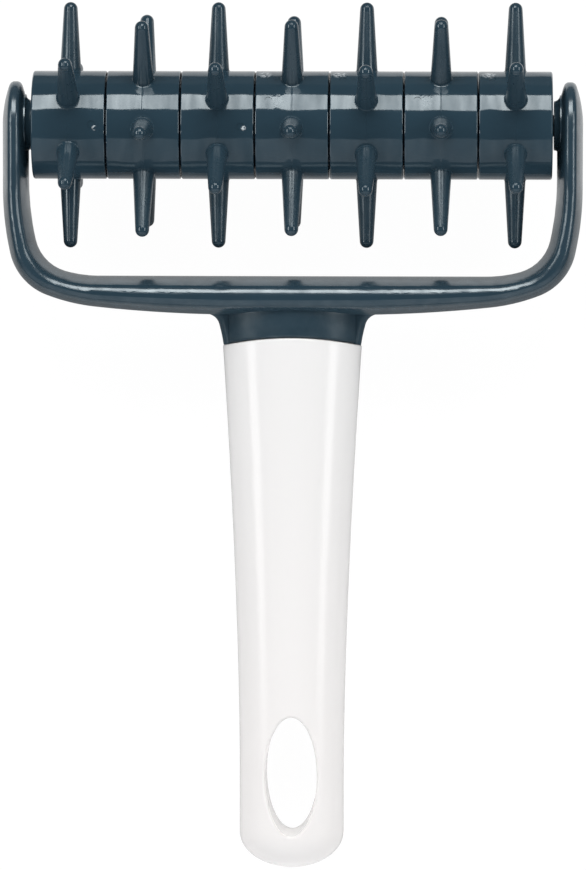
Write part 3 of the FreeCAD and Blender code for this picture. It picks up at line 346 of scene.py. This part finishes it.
def ring_shine(net, along, aside, out, off_spike):
    """strength of the reflection on the drum, round the spikes' roots, on the spikes and at the rims"""
    drum = net.spread(off_spike, ROOT_REACH, ROOT_REACH + ROOT_FADE, ROOT_SHEEN, RING_SHEEN)
    cone = net.spread(out, RING_RADIUS + ROOT_END, RING_RADIUS + SPIKE_CLEAR, 0.0, SPIKE_SHEEN)
    glint = net.spread(aside, GLINT_START, RIM_START, 1.0, RIM_GLINT)
    rim = net.math("MULTIPLY", glint, net.spread(aside, RIM_START, RIM_DARK, 1.0, RIM_SHEEN))
    halves = net.spread(along, -PARTING_WIDTH, PARTING_WIDTH, *HALF_SHEEN)
    return net.math("MULTIPLY", net.math("MULTIPLY", net.math("MAXIMUM", drum, cone), rim), halves)


def ring_skin(number):
    """ring moulding: a parting line round its middle, painted shade in the gaps to its neighbours, duller
    spikes with shiny tips, marks of moulding whitened partly with painted glints
    """
    skin = Plastic("ring_skin_%d" % number, DARK, shade=0.88, roughness=0.08, uneven=0.015,
                   wave_height=0.2 * MM, wave_scale=130.0).sheen(RING_SHEEN, COOL)
    net = skin.net
    along, out, off_spike = ring_places(skin, number)
    aside = towards_next(net, along, number)
    # painted shade: the rims towards the neighbouring rings darken to near black, standing in for the shade
    # in the gaps between rings
    painted_gap_shade = net.spread(aside, RIM_START, RIM_DARK, 0.0, 1.0)
    skin.colour = net.blend(painted_gap_shade, skin.colour, GAP_SHADE_DARK)
    seam = net.spread(net.math("ABSOLUTE", along), 0.0, PARTING_WIDTH, 1.0, 0.0, smooth=True)
    skin.normal = net.bump(seam, PARTING_HEIGHT, skin.normal)
    root = net.spread(off_spike, ROOT_REACH, ROOT_REACH + ROOT_FADE, SPIKE_DULLNESS, 0.0)
    tip = net.spread(out, TIP_START, TIP_START + TIP_FADE, 1.0, TIP_SHARE)
    skin.gloss = net.math("ADD", skin.gloss, net.math("MULTIPLY", root, tip))
    skin.shine = ring_shine(net, along, aside, out, off_spike)
    skin.mottle(STREAKS, scale=420.0, swing=0.3)
    for mark in RING_MARKS.get(number, []):
        add_mark(skin, ring_middle(number), mark)
    return skin.finish()


def dress(node, material):
    nodes[node].data.materials.clear()
    nodes[node].data.materials.append(material)


dress("yoke", yoke_skin())
dress("handle", handle_skin())
dress("roller_core", core_skin())
for number in range(1, RING_COUNT + 1):
    dress("spiked_ring_%d" % number, ring_skin(number))


# floor: a white sheet under the tool; beyond it the floor is dim, but white to the camera
FLOOR_HALF = 6.0
FLOOR_DROP = 0.2 * MM
FLOOR_ROUGHNESS = 0.7
FLOOR_SHEEN = 0.2
TABLE_DIM = (0.06, 0.06, 0.06)
SHEET_WHITE = (0.9, 0.9, 0.9)
SHEET_HALF_X = 0.13
SHEET_FRONT = 0.125
SHEET_BACK = -0.2
SHEET_FADE = 0.012
SHADOW_SHARE = 0.06
CAMERA_GLOW = 1.03

# painted light and shade: how bright the sheet glows in reflections, dimmer where the tool shades it: under
# the hang hole and the handle, then from each place along the tool on, and how much more beside the yoke
MIRROR_HOLE = 0.78
MIRROR_HANDLE = 0.47
HOLE_HALF = 0.007
HOLE_FADE = 4.0 * MM
MIRROR_STEPS = [(0.004, 0.22), (0.03, 0.43), (0.05, 0.78), (0.085, 0.9)]
YOKE_SIDE = 0.062
MIRROR_ASIDE = 1.15


def painted_sheet_glow(net, across, ahead):
    """painted light of the sheet where a reflection shows it, dimmer in steps where the tool shades it"""
    glance = net.spread(across, HOLE_HALF, HOLE_HALF + HOLE_FADE, MIRROR_HOLE, MIRROR_HANDLE)
    for start, level in MIRROR_STEPS:
        glance = net.spread(ahead, start, start + SHEET_FADE, glance, level)
    beside = net.spread(across, YOKE_SIDE, YOKE_SIDE + SHEET_FADE, 1.0, MIRROR_ASIDE)
    return net.math("MULTIPLY", glance, beside)


def floor_skin():
    """white to the camera with a share of the tool's shadow, glowing with painted light and shade in
    reflections, plain to other light
    """
    material = bpy.data.materials.new("floor_white")
    material.use_nodes = True
    net = Nodes(material.node_tree)
    shader = material.node_tree.nodes["Principled BSDF"]
    shader.inputs["Roughness"].default_value = FLOOR_ROUGHNESS
    shader.inputs["Specular IOR Level"].default_value = FLOOR_SHEEN

    side, ahead, _ = net.axes(net.add("ShaderNodeTexCoord").outputs["Object"])
    across = net.math("ABSOLUTE", side)
    sheet = net.spread(across, SHEET_HALF_X, SHEET_HALF_X + SHEET_FADE, 1.0, 0.0)
    for edge, outside in ((SHEET_FRONT, SHEET_FRONT + SHEET_FADE), (SHEET_BACK, SHEET_BACK - SHEET_FADE)):
        sheet = net.math("MULTIPLY", sheet, net.spread(ahead, edge, outside, 1.0, 0.0))
    path = net.add("ShaderNodeLightPath")
    seen = path.outputs["Is Camera Ray"]
    white = net.math("MAXIMUM", sheet, seen)
    net.link(net.ramp(white, [(0.0, TABLE_DIM), (1.0, SHEET_WHITE)]), shader.inputs["Base Color"])

    # painted light: to glossy and transmission rays the sheet glows though it is no lamp, with painted
    # shade under the tool
    mirrored = net.math("MAXIMUM", path.outputs["Is Glossy Ray"], path.outputs["Is Transmission Ray"])
    mirrored = net.math("MULTIPLY", mirrored, sheet)
    glance = net.math("MULTIPLY", mirrored, painted_sheet_glow(net, across, ahead))
    glow = net.add("ShaderNodeEmission")
    net.link(net.math("ADD", net.math("MULTIPLY", seen, CAMERA_GLOW), glance), glow.inputs["Strength"])
    share = net.math("MAXIMUM", net.math("MULTIPLY", seen, 1.0 - SHADOW_SHARE), mirrored)
    mix = net.add("ShaderNodeMixShader")
    net.link(share, mix.inputs[0])
    net.link(shader.outputs[0], mix.inputs[1])
    net.link(glow.outputs[0], mix.inputs[2])
    net.link(mix.outputs[0], material.node_tree.nodes["Material Output"].inputs["Surface"])
    return material


def white_floor():
    mesh = bpy.data.meshes.new("floor")
    corners = [(x * FLOOR_HALF, y * FLOOR_HALF, 0) for x, y in ((-1, -1), (1, -1), (1, 1), (-1, 1))]
    mesh.from_pydata(corners, [], [(0, 1, 2, 3)])
    floor = bpy.data.objects.new("floor", mesh)
    scene.collection.objects.link(floor)
    floor.location.z = cad_box[0].z - FLOOR_DROP
    mesh.materials.append(floor_skin())


white_floor()

# surroundings: a dim studio, lighter on the side of the handle
WALL = (0.515, 0.538, 0.569)
DIM = (0.039, 0.039, 0.043)
WALL_START = -0.55
WALL_FULL = -0.58


def studio_world():
    world = bpy.data.worlds.new("studio")
    scene.world = world
    world.use_nodes = True
    net = Nodes(world.node_tree)
    _, ahead, _ = net.axes(net.add("ShaderNodeTexCoord").outputs["Generated"])
    lit = net.spread(ahead, WALL_START, WALL_FULL, 0.0, 1.0)
    net.link(net.ramp(lit, [(0.0, DIM), (1.0, WALL)]), world.node_tree.nodes["Background"].inputs["Color"])


studio_world()

# lamps: a softbox beyond the roller, a strip on either side, and fills that reflections don't show;
# headings and polar angles are in degrees
RIGHT, FRONT, LEFT, BACK = 0.0, 90.0, 180.0, 270.0
LAMP_REACH = 1.2
FILL_REACH = 0.8
TOP_POLAR = (28.0, 62.0)
TOP_HALF = 0.42
TOP_RADIANCE = 6.6
STRIP_POLAR = (41.0, 55.0)
STRIP_BACK = 0.38
STRIP_FRONT = 0.6
STRIP_RADIANCE = 3.9
FILL_POLAR = (66.0, 86.0)
FILL_BACK = 0.5
FILL_FRONT = 0.1
FILL_RADIANCE = 1.87
END_POLAR = (60.0, 82.0)
END_HALF = 0.4
END_RADIANCE = 2.8


def softbox(name, heading, polar, left, right, radiance, reach=LAMP_REACH):
    """area lamp round the tool: polar angles from overhead, and its reach to either side"""
    round_tool = math.radians(heading)
    outward = Vector((math.cos(round_tool), math.sin(round_tool), 0.0))
    edges = []
    for angle in map(math.radians, polar):
        edges.append(reach * (math.sin(angle) * outward + math.cos(angle) * Vector((0.0, 0.0, 1.0))))
    along = Vector((-outward.y, outward.x, 0.0))
    rise = edges[0] - edges[1]
    middle = (edges[0] + edges[1]) / 2 + along * (right + left) / 2
    data = bpy.data.lights.new(name, "AREA")
    data.shape = "RECTANGLE"
    data.size = right - left
    data.size_y = rise.length
    data.energy = radiance * math.pi * data.size * data.size_y
    lamp = bpy.data.objects.new(name, data)
    scene.collection.objects.link(lamp)
    up = rise.normalized()
    turn = Matrix((along, up, along.cross(up))).transposed()
    lamp.matrix_world = Matrix.Translation(AXLE + middle) @ turn.to_4x4()
    return lamp


softbox("softbox_top", FRONT, TOP_POLAR, -TOP_HALF, TOP_HALF, TOP_RADIANCE)
softbox("strip_right", RIGHT, STRIP_POLAR, -STRIP_BACK, STRIP_FRONT, STRIP_RADIANCE)
softbox("strip_left", LEFT, STRIP_POLAR, -STRIP_FRONT, STRIP_BACK, STRIP_RADIANCE)
fills = [softbox("fill_handle_end", BACK, END_POLAR, -END_HALF, END_HALF, END_RADIANCE, FILL_REACH),
         softbox("fill_right", RIGHT, FILL_POLAR, -FILL_BACK, FILL_FRONT, FILL_RADIANCE, FILL_REACH),
         softbox("fill_left", LEFT, FILL_POLAR, -FILL_FRONT, FILL_BACK, FILL_RADIANCE, FILL_REACH)]
for lamp in fills:
    lamp.visible_glossy = False


# camera above the table, a little to the right of the tool and towards the handle's end
CAMERA_REACH = 1.5
CAMERA_ASIDE = math.radians(1.35)
CAMERA_BACK = math.radians(-2.8)
CAMERA_ROLL = math.radians(0.25)
LONG_FIELD = math.radians(7.66)
SENSOR_MM = 36.0
NEAREST = 0.01
FARTHEST = 50.0
TARGET = AXLE + Vector((0.37, -71.75, 0.0)) * MM


def overhead_camera():
    back = Vector((math.sin(CAMERA_ASIDE), math.sin(CAMERA_BACK), 1.0)).normalized()
    right = Vector((0.0, 1.0, 0.0)).cross(back).normalized()
    data = bpy.data.cameras.new("camera")
    data.sensor_width = SENSOR_MM
    data.lens = SENSOR_MM / 2 / math.tan(LONG_FIELD / 2)
    data.clip_start = NEAREST
    data.clip_end = FARTHEST
    camera = bpy.data.objects.new("camera", data)
    scene.collection.objects.link(camera)
    turn = Matrix((right, back.cross(right), back)).transposed() @ Matrix.Rotation(CAMERA_ROLL, 3, "Z")
    camera.matrix_world = Matrix.Translation(TARGET + CAMERA_REACH * back) @ turn.to_4x4()
    scene.camera = camera


overhead_camera()
scene.view_settings.view_transform = "Standard"
